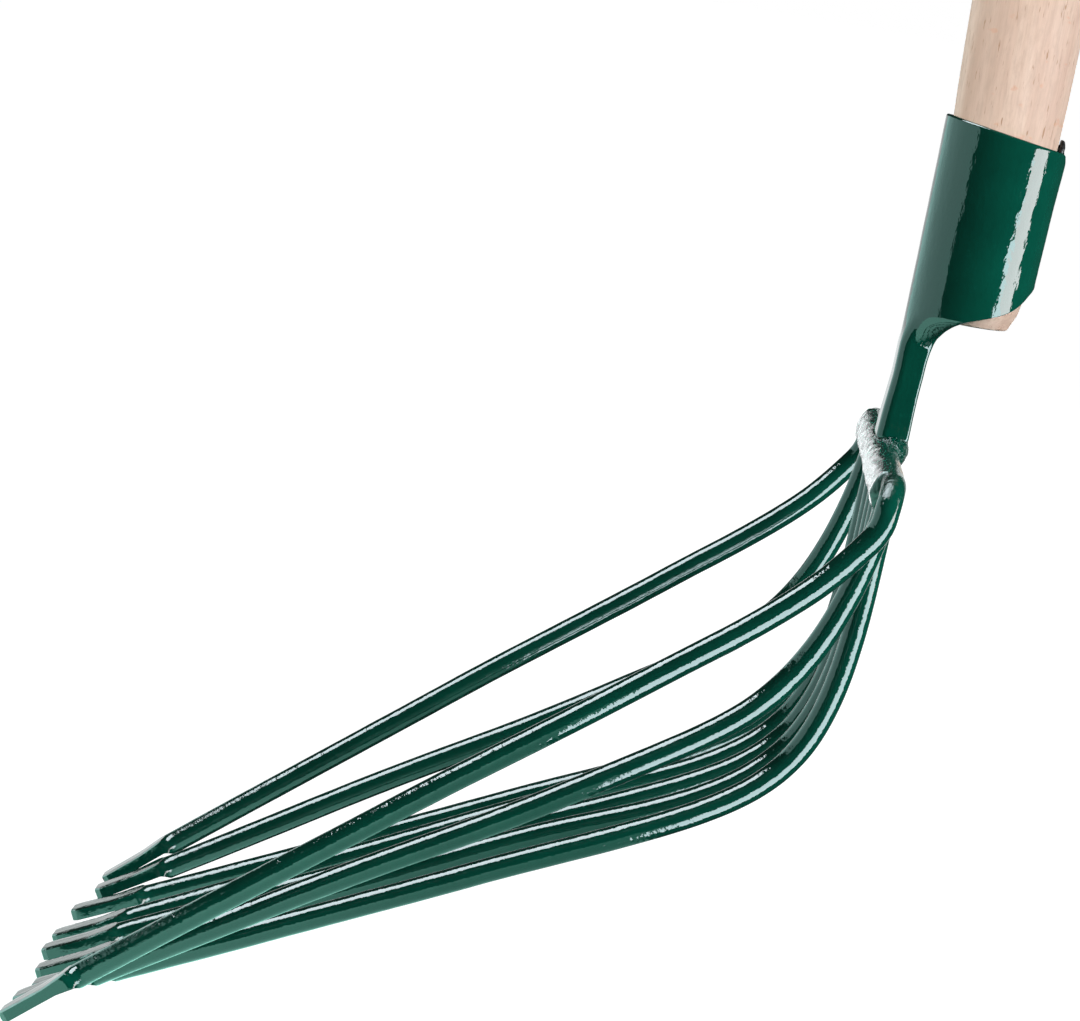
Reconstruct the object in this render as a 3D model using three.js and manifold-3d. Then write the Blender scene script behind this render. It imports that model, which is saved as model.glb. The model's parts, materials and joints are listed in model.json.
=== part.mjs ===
// Nine-tine welded scoop rake head on a round wooden handle.
// Millimetres, +Z up along the handle, tines pointing towards -X, Y across the head.
// The shapes are written about the socket mouth and then lowered, so that the
// row origin is the lower hand's grip on the handle axis.
import * as THREE from 'three';
import { mergeVertices } from 'three/addons/utils/BufferGeometryUtils.js';
import Module from 'manifold-3d';

const wasm = await Module();
wasm.setup();

// ---------------------------------------------------------------- dimensions
const GRIP_HEIGHT = 480;          // grip above the socket mouth
const HANDLE_TOP = 1036;          // butt of the handle above the socket mouth
const HANDLE_BOTTOM = -64.4;      // tapered end of the handle inside the socket
const ROD_R = 4.0;                // round rod of every tine and of the crossbar
const ROD_SIDES = 10;
const CROSSBAR = { x: -20.3, z: -110.7 };
const CROSSBAR_HALF = 111.5;      // centre plane to the corner of the bow
const BOW_BEND = 10.5;             // centreline bend radius of the bow corners
const TINE_TOP = -115.35;         // butt ends of the inner tines
const TIP_LENGTH = 26, TIP_TOP = 2.75, TIP_BOTTOM = 1.25, TIP_WIDTH = 14, TIP_CHAMFER = 2.2;
const SHEET = 2.0;                // pressed sheet of socket and neck
const NECK_BOTTOM = -106.1;
const GAP = 0.4;                  // running gap kept where pieces are welded or seated

// Side profiles of the tines, x and z at evenly spaced stations from crossbar to tip.
const PROFILES = {
  outer: [[-18.9, -116.7], [-26.5, -130.2], [-36.6, -142.6], [-48.6, -154.1], [-61.5, -164.9], [-74.7, -175.2], [-87.5, -185.3], [-100.2, -195.3], [-113.0, -205.2], [-126.0, -215.2], [-139.1, -225.3], [-151.9, -235.4], [-164.7, -245.7], [-177.5, -255.9], [-190.4, -266.2], [-203.2, -276.4], [-216.1, -286.7], [-229.0, -297.0], [-241.9, -307.4], [-254.7, -317.9], [-267.4, -328.6]],
  third: [[-19.3, -116.9], [-22.9, -134.0], [-27.1, -149.9], [-32.7, -164.7], [-40.2, -178.1], [-50.3, -190.3], [-63.3, -201.1], [-77.9, -211.1], [-92.6, -220.7], [-106.9, -230.1], [-121.2, -239.2], [-135.9, -248.1], [-150.7, -256.8], [-165.4, -265.6], [-180.0, -274.6], [-194.4, -283.7], [-208.8, -292.9], [-223.3, -302.1], [-237.8, -311.2], [-252.4, -320.2], [-267.0, -328.9]],
  second: [[-18.8, -117.5], [-20.0, -134.6], [-20.9, -153.7], [-22.7, -173.2], [-26.5, -191.8], [-33.5, -207.9], [-44.5, -220.6], [-58.6, -230.6], [-74.2, -239.1], [-90.4, -247.0], [-106.9, -254.6], [-123.3, -262.3], [-139.5, -270.2], [-155.7, -278.0], [-172.0, -285.8], [-188.3, -293.6], [-204.5, -301.4], [-220.8, -309.1], [-237.0, -316.7], [-253.2, -324.2], [-269.4, -331.7]],
  first: [[-18.8, -117.5], [-19.6, -134.8], [-20.4, -153.8], [-22.3, -173.2], [-26.2, -191.7], [-33.2, -207.9], [-44.1, -220.9], [-58.0, -231.0], [-73.7, -239.2], [-90.3, -246.3], [-107.1, -253.3], [-123.6, -260.9], [-139.8, -269.0], [-156.0, -277.2], [-172.3, -285.3], [-188.6, -293.3], [-204.8, -301.3], [-221.1, -309.4], [-237.4, -317.5], [-253.7, -325.5], [-270.1, -333.4]],
  centre: [[-18.5, -117.7], [-19.5, -134.8], [-20.3, -154.2], [-22.3, -174.2], [-26.4, -193.1], [-33.7, -209.4], [-44.9, -221.9], [-59.0, -231.5], [-74.7, -239.6], [-91.1, -247.3], [-107.7, -254.8], [-124.1, -262.4], [-140.4, -270.3], [-156.7, -278.1], [-173.0, -285.9], [-189.3, -293.7], [-205.7, -301.5], [-222.0, -309.3], [-238.3, -317.1], [-254.6, -324.9], [-271.0, -332.7]],
};
// Distance from the centre plane at the crossbar, at the heel and at the tip.
const SPREAD = {
  outer: [112.4, 109.2, 99.2], third: [84.0, 84.5, 79.3], second: [55.5, 57.2, 58.5],
  first: [27.7, 28.1, 27.1], centre: [0, 0, 0],
};
const HEEL_STATION = 0.4;

const enamel = () => new THREE.MeshStandardMaterial({ color: new THREE.Color(0x0b4a38), roughness: 0.16, metalness: 0.0 });
const beech = () => new THREE.MeshStandardMaterial({ color: new THREE.Color(0xdcc8b8), roughness: 0.62, metalness: 0.0 });
const blackSteel = () => new THREE.MeshStandardMaterial({ color: new THREE.Color(0x2b2c2e), roughness: 0.45, metalness: 0.6 });

// ---------------------------------------------------------------- solids
function toManifold(geometry) {
  let g = geometry.clone();
  g.deleteAttribute('normal');
  g.deleteAttribute('uv');
  g = mergeVertices(g, 1e-4);
  return new wasm.Manifold(new wasm.Mesh({
    numProp: 3,
    vertProperties: new Float32Array(g.attributes.position.array),
    triVerts: new Uint32Array(g.index.array),
  }));
}
function fromManifold(solid) {
  const m = solid.getMesh();
  const g = new THREE.BufferGeometry();
  const pos = new Float32Array(m.numVert * 3);
  for (let i = 0; i < m.numVert; i++) for (let k = 0; k < 3; k++) pos[3 * i + k] = m.vertProperties[i * m.numProp + k];
  g.setAttribute('position', new THREE.BufferAttribute(pos, 3));
  g.setIndex(new THREE.BufferAttribute(new Uint32Array(m.triVerts), 1));
  g.computeVertexNormals();
  return g;
}
function ringShape(radius, sides) {
  const s = new THREE.Shape();
  for (let i = 0; i < sides; i++) {
    const a = (i + 0.5) * 2 * Math.PI / sides;
    const p = [radius * Math.cos(a), radius * Math.sin(a)];
    if (i === 0) s.moveTo(...p); else s.lineTo(...p);
  }
  s.closePath();
  return s;
}
function rodAlong(points, radius, steps, sides = ROD_SIDES) {
  const path = new THREE.CatmullRomCurve3(points, false, 'centripetal');
  return new THREE.ExtrudeGeometry(ringShape(radius, sides), { steps, extrudePath: path, bevelEnabled: false });
}
function straightRod(a, b, radius, sides = ROD_SIDES) {
  const path = new THREE.LineCurve3(a, b);
  return new THREE.ExtrudeGeometry(ringShape(radius, sides), { steps: 1, extrudePath: path, bevelEnabled: false });
}
const vertexRadius = (r, sides) => r / Math.cos(Math.PI / sides) * 0.985;

// Centreline of one tine, from its first station to the tip of its flat blade.
function stations(profile, spread, side) {
  return PROFILES[profile].map(([x, z], i, all) => {
    const u = i / (all.length - 1), [y0, y1, y2] = SPREAD[spread];
    const y = u < HEEL_STATION ? y0 + (y1 - y0) * u / HEEL_STATION : y1 + (y2 - y1) * (u - HEEL_STATION) / (1 - HEEL_STATION);
    return new THREE.Vector3(x, side * y, z);
  });
}
function moveTip(points, extra) {
  const n = points.length, d = points[n - 1].clone().sub(points[n - 2]).normalize();
  points[n - 1].addScaledVector(d, extra);
  return points;
}
// Cuts the last `length` millimetres off a curve and returns points of the rest.
function shorten(points, length, count) {
  const c = new THREE.CatmullRomCurve3(points, false, 'centripetal');
  c.arcLengthDivisions = 800;
  const u1 = 1 - length / c.getLength();
  const out = [];
  for (let i = 0; i <= count; i++) out.push(c.getPointAt(u1 * i / count));
  return { points: out, end: c.getPointAt(u1), dir: c.getPointAt(1).sub(c.getPointAt(u1)).normalize() };
}
// The pressed blade at a tine's end: flat on top, with a ramp running out over
// the rod's crest, a short step below and cut corners at the tip.
function smooth(t) { t = Math.min(1, Math.max(0, t)); return t * t * (3 - 2 * t); }
function bladeRing(d) {
  const inside = d < -2.5;
  let w = inside ? 2.6 : 4 + (TIP_WIDTH / 2 - 4) * smooth((d + 4) / 5.5);
  const power = inside ? 9 : 2 + 7 * smooth((d + 1.5) / 4.5);
  const top = inside ? 2.6 : 4 - (4 - TIP_TOP) * Math.min(1, Math.max(0, (d + 2.5) / 12.5));
  const bottom = inside ? 2.6 : 4 - (4 - TIP_BOTTOM) * smooth((d + 2.5) / 4);
  w -= 0.9 * Math.max(0, d - (TIP_LENGTH - TIP_CHAMFER));
  const reach = inside ? 2.9 : 4;
  const corner = (h) => Math.min(1.4, Math.atan2(h, w * Math.pow(Math.max(0, 1 - Math.pow(h / reach, power)), 1 / power)));
  const point = (a) => {
    const c = Math.cos(a), n = Math.sin(a);
    let r = Math.pow(Math.pow(Math.abs(c) / w, power) + Math.pow(Math.abs(n) / reach, power), -1 / power);
    if (n > 0) r = Math.min(r, top / n); else if (n < 0) r = Math.min(r, bottom / -n);
    return [r * c, r * n];
  };
  const up = corner(top), down = corner(bottom);
  const right = [-down, -down * 0.55, 0, up * 0.55, up].map(point);
  return [...right, ...right.slice().reverse().map(([x, y]) => [-x, y])];
}
function tipBlade(end, dir) {
  const across = new THREE.Vector3(0, 1, 0).addScaledVector(dir, -dir.y).normalize();
  const up = across.clone().cross(dir).normalize();
  if (up.z < 0) up.negate();
  const at = [-3, -1, 0.2, 1.6, 3.2, 5.5, 10, TIP_LENGTH - TIP_CHAMFER, TIP_LENGTH];
  const pos = [], idx = [], n = 10;
  for (const d of at) for (const [a, b] of bladeRing(d)) {
    const v = end.clone().addScaledVector(dir, d).addScaledVector(across, a).addScaledVector(up, b);
    pos.push(v.x, v.y, v.z);
  }
  for (let i = 0; i < at.length - 1; i++) for (let j = 0; j < n; j++) {
    const k = (j + 1) % n, a = i * n + j, b = i * n + k;
    idx.push(a, b, b + n, a, b + n, a + n);
  }
  const last = (at.length - 1) * n;
  for (let j = 1; j < n - 1; j++) {
    idx.push(0, j + 1, j);
    idx.push(last, last + j, last + j + 1);
  }
  const g = new THREE.BufferGeometry();
  g.setAttribute('position', new THREE.BufferAttribute(new Float32Array(pos), 3));
  g.setIndex(idx);
  // turn the faces outwards
  const ix = g.index, p = g.attributes.position, A = new THREE.Vector3(), B = new THREE.Vector3(), C = new THREE.Vector3();
  let volume = 0;
  for (let i = 0; i < ix.count; i += 3) {
    A.fromBufferAttribute(p, ix.getX(i)).sub(end); B.fromBufferAttribute(p, ix.getX(i + 1)).sub(end); C.fromBufferAttribute(p, ix.getX(i + 2)).sub(end);
    volume += A.dot(B.clone().cross(C));
  }
  if (volume < 0) for (let i = 0; i < ix.count; i += 3) { const t = ix.getX(i + 1); ix.setX(i + 1, ix.getX(i + 2)); ix.setX(i + 2, t); }
  return g;
}
function innerTine(profile, side, extra) {
  const pts = moveTip(stations(profile, profile, side), extra);
  pts[0].x -= 0.3;
  pts[0].z = TINE_TOP;
  const rod = shorten(pts, TIP_LENGTH, 25);
  return toManifold(rodAlong(rod.points, vertexRadius(ROD_R, ROD_SIDES), 28)).add(toManifold(tipBlade(rod.end, rod.dir)));
}

// The outer bow: tip, arm, rounded corner, crossbar, rounded corner, arm, tip.
function bowPoints() {
  const half = (side) => {
    const arm = stations('outer', 'outer', side);
    const corner = new THREE.Vector3(CROSSBAR.x, side * CROSSBAR_HALF, CROSSBAR.z);
    const dir = new THREE.Vector3(-0.13, 0, -0.9915);
    const across = new THREE.Vector3(0, side, 0);
    const centre = corner.clone().addScaledVector(across, -BOW_BEND).addScaledVector(dir, BOW_BEND);
    const bend = [];
    for (let k = 0; k <= 4; k++) {
      const a = k * Math.PI / 8;
      bend.push(centre.clone().addScaledVector(across, BOW_BEND * Math.sin(a)).addScaledVector(dir, -BOW_BEND * Math.cos(a)));
    }
    return { bend, arm: arm.slice(1) };
  };
  return { near: half(-1), far: half(1) };
}
function outerBow() {
  const { near, far } = bowPoints();
  const all = [...near.arm.slice().reverse(), ...near.bend.slice().reverse(),
    new THREE.Vector3(CROSSBAR.x, -50, CROSSBAR.z), new THREE.Vector3(CROSSBAR.x, 0, CROSSBAR.z), new THREE.Vector3(CROSSBAR.x, 50, CROSSBAR.z),
    ...far.bend, ...far.arm];
  const c = new THREE.CatmullRomCurve3(all, false, 'centripetal');
  c.arcLengthDivisions = 2400;
  const L = c.getLength(), u0 = TIP_LENGTH / L, u1 = 1 - u0, pts = [];
  const n = 84;
  for (let i = 0; i <= n; i++) pts.push(c.getPointAt(u0 + (u1 - u0) * i / n));
  const rod = toManifold(rodAlong(pts, vertexRadius(ROD_R, ROD_SIDES), 84));
  const blade = (u, uTip) => {
    const end = c.getPointAt(u), dir = c.getPointAt(uTip).sub(end).normalize();
    return toManifold(tipBlade(end, dir));
  };
  return rod.add(blade(u0, 0)).add(blade(u1, 1));
}

// ------------------------------------------------------- socket and neck
// One pressed sheet: a rolled socket that is open along the back and narrows
// into a channel-shaped neck. A cross-section at height h starts at the front
// centreline and turns through an angle that grows with the distance along it.
const lerpTable = (t, x) => {
  if (x >= t[0][0]) return t[0][1];
  for (let i = 1; i < t.length; i++) if (x >= t[i][0]) {
    const k = (t[i - 1][0] - x) / (t[i - 1][0] - t[i][0]);
    return t[i - 1][1] + (t[i][1] - t[i - 1][1]) * k;
  }
  return t[t.length - 1][1];
};
const FRONT_X = [[0, -20.25], [-20, -20.7], [-42, -21.2], [-60, -21.6], [-70, -21.9], [-84, -22.3], [-98, -23.7], [-107, -24.3]];
const SOCKET_R = [[0, 21.1], [-20, 20.7], [-42, 20.4], [-60, 20.2], [-107, 20.0]];
const REAR_X = [[-41, 25], [-42.5, 20.6], [-45, 19.9], [-47.3, 18.9], [-49.5, 17.6], [-52, 16.0], [-54.2, 14.5], [-55.8, 13.0], [-57.3, 11.2], [-58.6, 9.0], [-60.1, 5.2], [-61.5, 1.2], [-62.8, -2.6], [-65, -6.2], [-67.2, -8.4], [-70.5, -10.5], [-77, -12.0], [-92, -13.0], [-107, -13.4]];
const SEAM_HALF = 4.8;            // half the opening between the two wings
const WING_CORNER = 5.0;          // rounding of the wings' upper corners
const RIM_SLOPE = -0.162;         // the rim drops towards the back
const NECK_WEB = 7.4, NECK_BEND = 2.6;

function section(h) {
  const R = lerpTable(SOCKET_R, h) - SHEET / 2;
  const t = smooth((-62 - h) / 13);
  const xf = lerpTable(FRONT_X, h) + SHEET / 2;
  const ds = 0.25, pts = [];
  let x = xf, y = 0;
  for (let i = 0; i <= 320; i++) {
    const s = i * ds;
    const neck = s < NECK_WEB ? 0 : Math.min(Math.PI / 2, (s - NECK_WEB) / NECK_BEND);
    const a = (1 - t) * s / R + t * neck;
    pts.push({ s, x, y, a });
    x += Math.sin(a + (1 - t) * ds / R / 2) * ds;
    y += Math.cos(a + (1 - t) * ds / R / 2) * ds;
  }
  return pts;
}
function sectionEnd(h, pts) {
  const rear = lerpTable(REAR_X, h);
  let end = pts.length - 1;
  for (let i = 8; i < pts.length; i++) {
    const p = pts[i];
    if (p.x >= rear || (p.a > Math.PI / 2 && p.y <= SEAM_HALF) || p.a > 3.0) { end = i; break; }
  }
  let s = pts[end].s;
  const d = -h;
  if (d < WING_CORNER) s -= WING_CORNER - Math.sqrt(Math.max(0, WING_CORNER ** 2 - (WING_CORNER - d) ** 2));
  return s;
}
function at(pts, s) {
  const i = Math.min(pts.length - 2, Math.floor(s / 0.25)), k = s / 0.25 - i, a = pts[i], b = pts[i + 1];
  return { x: a.x + (b.x - a.x) * k, y: a.y + (b.y - a.y) * k, a: a.a + (b.a - a.a) * k };
}
function socketSheet() {
  const rows = [0, -0.7, -2, -5, -14, -28, -40, -42, -43.5, -45, -47.3, -49.5, -52, -54.2, -55.8, -57.3, -58.6, -60.1, -61.5, -62.8, -65, -67.2, -70.5, -77, -85, -95, NECK_BOTTOM];
  const m = 13, cols = 2 * m + 1;
  const outer = [], inner = [];
  for (const h of rows) {
    const pts = section(h), end = sectionEnd(h, pts), fade = smooth((h + 46) / 46);
    const ro = [], ri = [];
    for (let j = -m; j <= m; j++) {
      const p = at(pts, end * Math.abs(j) / m), sg = j < 0 ? -1 : 1;
      const nx = -Math.cos(p.a), ny = Math.sin(p.a);
      const place = (off) => {
        const x = p.x + nx * off, y = sg * (p.y + ny * off);
        return new THREE.Vector3(x, y, h + RIM_SLOPE * x * fade);
      };
      ro.push(place(SHEET / 2));
      ri.push(place(-SHEET / 2));
    }
    outer.push(ro); inner.push(ri);
  }
  const pos = [], idx = [], id = (layer, i, j) => (layer * rows.length + i) * cols + j;
  for (const grid of [outer, inner]) for (const row of grid) for (const v of row) pos.push(v.x, v.y, v.z);
  const quad = (a, b, c, d) => idx.push(a, b, c, a, c, d);
  const R = rows.length;
  for (let i = 0; i < R - 1; i++) for (let j = 0; j < cols - 1; j++) {
    quad(id(0, i, j), id(0, i + 1, j), id(0, i + 1, j + 1), id(0, i, j + 1));
    quad(id(1, i, j), id(1, i, j + 1), id(1, i + 1, j + 1), id(1, i + 1, j));
  }
  for (let j = 0; j < cols - 1; j++) {
    quad(id(0, 0, j), id(0, 0, j + 1), id(1, 0, j + 1), id(1, 0, j));
    quad(id(0, R - 1, j), id(1, R - 1, j), id(1, R - 1, j + 1), id(0, R - 1, j + 1));
  }
  for (let i = 0; i < R - 1; i++) {
    quad(id(0, i, 0), id(1, i, 0), id(1, i + 1, 0), id(0, i + 1, 0));
    quad(id(0, i, cols - 1), id(0, i + 1, cols - 1), id(1, i + 1, cols - 1), id(1, i, cols - 1));
  }
  const g = new THREE.BufferGeometry();
  g.setAttribute('position', new THREE.BufferAttribute(new Float32Array(pos), 3));
  g.setIndex(idx);
  // faces point out of the sheet
  const p = g.attributes.position, ix = g.index;
  let vol = 0;
  const A = new THREE.Vector3(), B = new THREE.Vector3(), C = new THREE.Vector3();
  for (let i = 0; i < ix.count; i += 3) {
    A.fromBufferAttribute(p, ix.getX(i)); B.fromBufferAttribute(p, ix.getX(i + 1)); C.fromBufferAttribute(p, ix.getX(i + 2));
    vol += A.dot(B.clone().cross(C)) / 6;
  }
  if (vol < 0) for (let i = 0; i < ix.count; i += 3) { const t = ix.getX(i + 1); ix.setX(i + 1, ix.getX(i + 2)); ix.setX(i + 2, t); }
  g.computeVertexNormals();
  return g;
}

// ------------------------------------------------------- handle and screw
const HANDLE_X = 0.1;
const HANDLE_PROFILE = [[0, HANDLE_BOTTOM], [12.4, HANDLE_BOTTOM], [14.9, -58.5], [16.2, -52], [16.6, -45], [17.85, 0], [18.35, 12], [18.95, 40], [19.3, 75], [19.5, 120], [19.5, 900], [19.5, 1026], [18.2, 1032.5], [14.5, HANDLE_TOP], [0, HANDLE_TOP]];
const SCREW_Z = -2.5, SCREW_HEAD_R = 3.4, SCREW_HEAD_T = 2.0, SCREW_SHANK_R = 1.75;
function alongX(geometry, x, z) {
  geometry.rotateZ(-Math.PI / 2);
  geometry.translate(x, 0, z);
  return geometry;
}
function handleSolid() {
  const lathe = new THREE.LatheGeometry(HANDLE_PROFILE.map(([r, z]) => new THREE.Vector2(r, z)), 32);
  lathe.rotateX(Math.PI / 2);
  lathe.translate(HANDLE_X, 0, 0);
  const pilot = alongX(new THREE.CylinderGeometry(SCREW_SHANK_R + 0.3, SCREW_SHANK_R + 0.3, 30, 12), 15, SCREW_Z);
  return toManifold(lathe).subtract(toManifold(pilot));
}
function screwSolid() {
  const x0 = 18.35;
  const profile = [[0, -16], [SCREW_SHANK_R, -14.5], [SCREW_SHANK_R, 0], [SCREW_HEAD_R, 0], [SCREW_HEAD_R, 0.9], [2.7, 1.6], [1.5, SCREW_HEAD_T], [0, SCREW_HEAD_T]];
  const g = new THREE.LatheGeometry(profile.map(([r, y]) => new THREE.Vector2(r, y)), 16);
  return toManifold(alongX(g, x0, SCREW_Z));
}

// ------------------------------------------------------- weld beads
function ellipsoid(rx, ry, rz, x, y, z, w, h) {
  const g = new THREE.SphereGeometry(1, w, h);
  g.rotateX(Math.PI / 2);
  g.scale(rx, ry, rz);
  g.translate(x, y, z);
  return toManifold(g);
}
function beadBar(rx, rz, x, z, half, sides) {
  const s = new THREE.Shape();
  for (let i = 0; i < sides; i++) {
    const a = i * 2 * Math.PI / sides, p = [rx * Math.cos(a), rz * Math.sin(a)];
    if (i === 0) s.moveTo(...p); else s.lineTo(...p);
  }
  s.closePath();
  const g = new THREE.ExtrudeGeometry(s, { depth: 2 * half, bevelEnabled: false, steps: 1 });
  g.translate(0, 0, -half);
  g.rotateX(Math.PI / 2);
  g.translate(x, 0, z);
  return toManifold(g);
}
const crossbarClear = () => toManifold(straightRod(new THREE.Vector3(CROSSBAR.x, -130, CROSSBAR.z), new THREE.Vector3(CROSSBAR.x, 130, CROSSBAR.z), ROD_R + GAP + 0.1, 16));
function tineClear(profile, side) {
  const pts = stations(profile, profile, side);
  pts[0].x -= 0.3;
  pts[0].z = TINE_TOP;
  const head = shorten(pts, TIP_LENGTH, 25).points.slice(0, 5);
  head.unshift(head[0].clone().addScaledVector(head[0].clone().sub(head[1]).normalize(), 8));
  return toManifold(rodAlong(head, ROD_R + GAP + 0.15, 12, 16));
}
function crossbarWeld() {
  let bead = beadBar(4.2, 6.8, -22.9, -113.9, 97, 12).subtract(crossbarClear());
  for (const k of ['third', 'second', 'first', 'centre']) for (const side of (k === 'centre' ? [1] : [-1, 1])) {
    bead = bead.subtract(tineClear(k, side));
  }
  return bead;
}
function neckWeld() {
  let lump = ellipsoid(6.3, 18.6, 7.3, -18.5, 0, -109.6, 24, 16);
  const block = (x0, x1, half, z0, z1) => {
    const g = new THREE.BoxGeometry(x1 - x0, 2 * half, z1 - z0);
    g.translate((x0 + x1) / 2, 0, (z0 + z1) / 2);
    return toManifold(g);
  };
  lump = lump.subtract(crossbarClear());
  lump = lump.subtract(block(-40, 0, 11.4, NECK_BOTTOM - GAP, -90));
  lump = lump.subtract(block(-40, 0, 30, -140, -114.6));
  lump = lump.subtract(block(-40, -20.3, 30, -140, -106.6));
  return lump;
}

// ---------------------------------------------------------------- assembly
const tool = new THREE.Group();
const head = new THREE.Group();
head.position.set(0, 0, -GRIP_HEIGHT);
tool.add(head);
function piece(name, geometry, material) {
  const mesh = new THREE.Mesh(geometry, material);
  mesh.name = name;
  head.add(mesh);
  return mesh;
}
piece('handle', fromManifold(handleSolid()), beech());
piece('handle_screw', fromManifold(screwSolid()), blackSteel());
piece('socket', socketSheet(), enamel());
piece('outer_bow', fromManifold(outerBow()), enamel());
// The last number is how much a tine's tip stands beyond or short of its station.
piece('tine_left_3', fromManifold(innerTine('third', -1, 0)), enamel());
piece('tine_left_2', fromManifold(innerTine('second', -1, -5)), enamel());
piece('tine_left_1', fromManifold(innerTine('first', -1, -1.3)), enamel());
piece('tine_centre', fromManifold(innerTine('centre', 1, 0.8)), enamel());
piece('tine_right_1', fromManifold(innerTine('first', 1, 2.8)), enamel());
piece('tine_right_2', fromManifold(innerTine('second', 1, 2.5)), enamel());
piece('tine_right_3', fromManifold(innerTine('third', 1, 0)), enamel());
piece('crossbar_weld', fromManifold(crossbarWeld()), enamel());
piece('neck_weld', fromManifold(neckWeld()), enamel());

export default tool;
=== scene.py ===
# Looks of the nine-tine scoop rake: painted head, beech handle, studio light.
import bpy, bmesh, json, math
import numpy as np
from mathutils import Matrix, Vector, noise

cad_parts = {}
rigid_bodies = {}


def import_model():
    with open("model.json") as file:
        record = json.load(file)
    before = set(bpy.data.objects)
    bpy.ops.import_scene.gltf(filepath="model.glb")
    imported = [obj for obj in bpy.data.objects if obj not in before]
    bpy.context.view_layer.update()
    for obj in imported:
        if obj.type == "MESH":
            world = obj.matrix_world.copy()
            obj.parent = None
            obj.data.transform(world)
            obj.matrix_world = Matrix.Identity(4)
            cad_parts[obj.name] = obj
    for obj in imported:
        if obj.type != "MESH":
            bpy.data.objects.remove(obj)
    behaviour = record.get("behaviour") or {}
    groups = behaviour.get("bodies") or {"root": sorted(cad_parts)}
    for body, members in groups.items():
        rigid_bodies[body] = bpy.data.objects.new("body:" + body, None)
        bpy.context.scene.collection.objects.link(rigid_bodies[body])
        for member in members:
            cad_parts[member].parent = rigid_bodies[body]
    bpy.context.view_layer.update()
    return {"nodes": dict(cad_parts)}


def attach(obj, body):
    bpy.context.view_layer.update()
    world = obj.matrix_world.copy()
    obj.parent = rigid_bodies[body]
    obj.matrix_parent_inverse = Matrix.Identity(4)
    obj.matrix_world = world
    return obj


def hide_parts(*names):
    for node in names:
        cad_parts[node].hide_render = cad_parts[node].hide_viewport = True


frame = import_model()

# Lengths below are millimetres about the socket mouth; the row origin is 480 mm higher.
GRIP = 480.0
ROD_R = 3.97
CROSSBAR = (-20.3, -110.7)
CROSSBAR_HALF, BOW_BEND = 111.5, 10.5
TINE_TOP = -115.35
TIP_LENGTH, TIP_TOP, TIP_BOTTOM, TIP_WIDTH, TIP_CHAMFER = 26.0, 2.75, 1.25, 13.96, 2.2
SHEET, NECK_BOTTOM = 2.0, -106.1
PROFILES = {
    'outer': [[-18.9, -116.7], [-26.5, -130.2], [-36.6, -142.6], [-48.6, -154.1], [-61.5, -164.9], [-74.7, -175.2], [-87.5, -185.3], [-100.2, -195.3], [-113.0, -205.2], [-126.0, -215.2], [-139.1, -225.3], [-151.9, -235.4], [-164.7, -245.7], [-177.5, -255.9], [-190.4, -266.2], [-203.2, -276.4], [-216.1, -286.7], [-229.0, -297.0], [-241.9, -307.4], [-254.7, -317.9], [-267.4, -328.6]],
    'third': [[-19.3, -116.9], [-22.9, -134.0], [-27.1, -149.9], [-32.7, -164.7], [-40.2, -178.1], [-50.3, -190.3], [-63.3, -201.1], [-77.9, -211.1], [-92.6, -220.7], [-106.9, -230.1], [-121.2, -239.2], [-135.9, -248.1], [-150.7, -256.8], [-165.4, -265.6], [-180.0, -274.6], [-194.4, -283.7], [-208.8, -292.9], [-223.3, -302.1], [-237.8, -311.2], [-252.4, -320.2], [-267.0, -328.9]],
    'second': [[-18.8, -117.5], [-20.0, -134.6], [-20.9, -153.7], [-22.7, -173.2], [-26.5, -191.8], [-33.5, -207.9], [-44.5, -220.6], [-58.6, -230.6], [-74.2, -239.1], [-90.4, -247.0], [-106.9, -254.6], [-123.3, -262.3], [-139.5, -270.2], [-155.7, -278.0], [-172.0, -285.8], [-188.3, -293.6], [-204.5, -301.4], [-220.8, -309.1], [-237.0, -316.7], [-253.2, -324.2], [-269.4, -331.7]],
    'first': [[-18.8, -117.5], [-19.6, -134.8], [-20.4, -153.8], [-22.3, -173.2], [-26.2, -191.7], [-33.2, -207.9], [-44.1, -220.9], [-58.0, -231.0], [-73.7, -239.2], [-90.3, -246.3], [-107.1, -253.3], [-123.6, -260.9], [-139.8, -269.0], [-156.0, -277.2], [-172.3, -285.3], [-188.6, -293.3], [-204.8, -301.3], [-221.1, -309.4], [-237.4, -317.5], [-253.7, -325.5], [-270.1, -333.4]],
    'centre': [[-18.5, -117.7], [-19.5, -134.8], [-20.3, -154.2], [-22.3, -174.2], [-26.4, -193.1], [-33.7, -209.4], [-44.9, -221.9], [-59.0, -231.5], [-74.7, -239.6], [-91.1, -247.3], [-107.7, -254.8], [-124.1, -262.4], [-140.4, -270.3], [-156.7, -278.1], [-173.0, -285.9], [-189.3, -293.7], [-205.7, -301.5], [-222.0, -309.3], [-238.3, -317.1], [-254.6, -324.9], [-271.0, -332.7]],
}
SPREAD = {
    "outer": (112.4, 109.2, 99.2), "third": (84.0, 84.5, 79.3), "second": (55.5, 57.2, 58.5),
    "first": (27.7, 28.1, 27.1), "centre": (0.0, 0.0, 0.0),
}
HEEL_STATION = 0.4
# node, profile, side, how far the tip stands beyond its last station
TINES = [
    ("tine_left_3", "third", -1, 0.0), ("tine_left_2", "second", -1, -5.0), ("tine_left_1", "first", -1, -1.3),
    ("tine_centre", "centre", 1, 0.8), ("tine_right_1", "first", 1, 2.8), ("tine_right_2", "second", 1, 2.5),
    ("tine_right_3", "third", 1, 0.0),
]


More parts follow.
